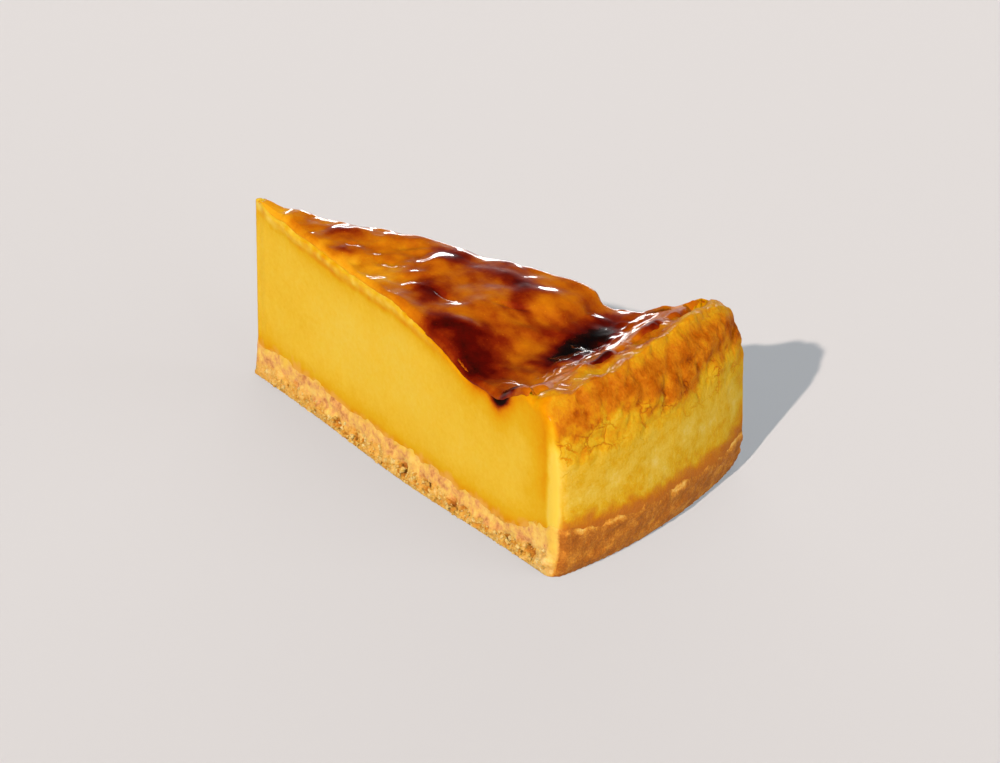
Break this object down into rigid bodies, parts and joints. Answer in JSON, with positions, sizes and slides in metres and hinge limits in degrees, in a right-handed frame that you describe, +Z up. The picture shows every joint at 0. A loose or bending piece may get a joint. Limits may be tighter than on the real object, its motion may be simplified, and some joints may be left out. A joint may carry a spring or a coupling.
{
  "type": "sweet potato cake slice",
  "caption": "Wedge slice of baked sweet potato cake: smooth yellow filling with a sunken, browned top and raised rim on a crumbly biscuit base.",
  "frame": {"origin": "middle of the slice's box on the plane that it stands on", "axes": "+X from the tip of the slice to its baked rim along the middle of the wedge, +Z up, -Y towards the cut face that the picture shows"},
  "size_m": [0.1004, 0.0575, 0.0386],
  "materials": {
    "biscuit": "coarse baked biscuit crumb, golden tan, matt",
    "filling": "smooth baked sweet potato filling, golden yellow, satin, browned and glazed on top"
  },
  "bodies": {
    "root": {"biscuit_base": "biscuit", "potato_filling": "filling"}
  },
  "joints": []
}
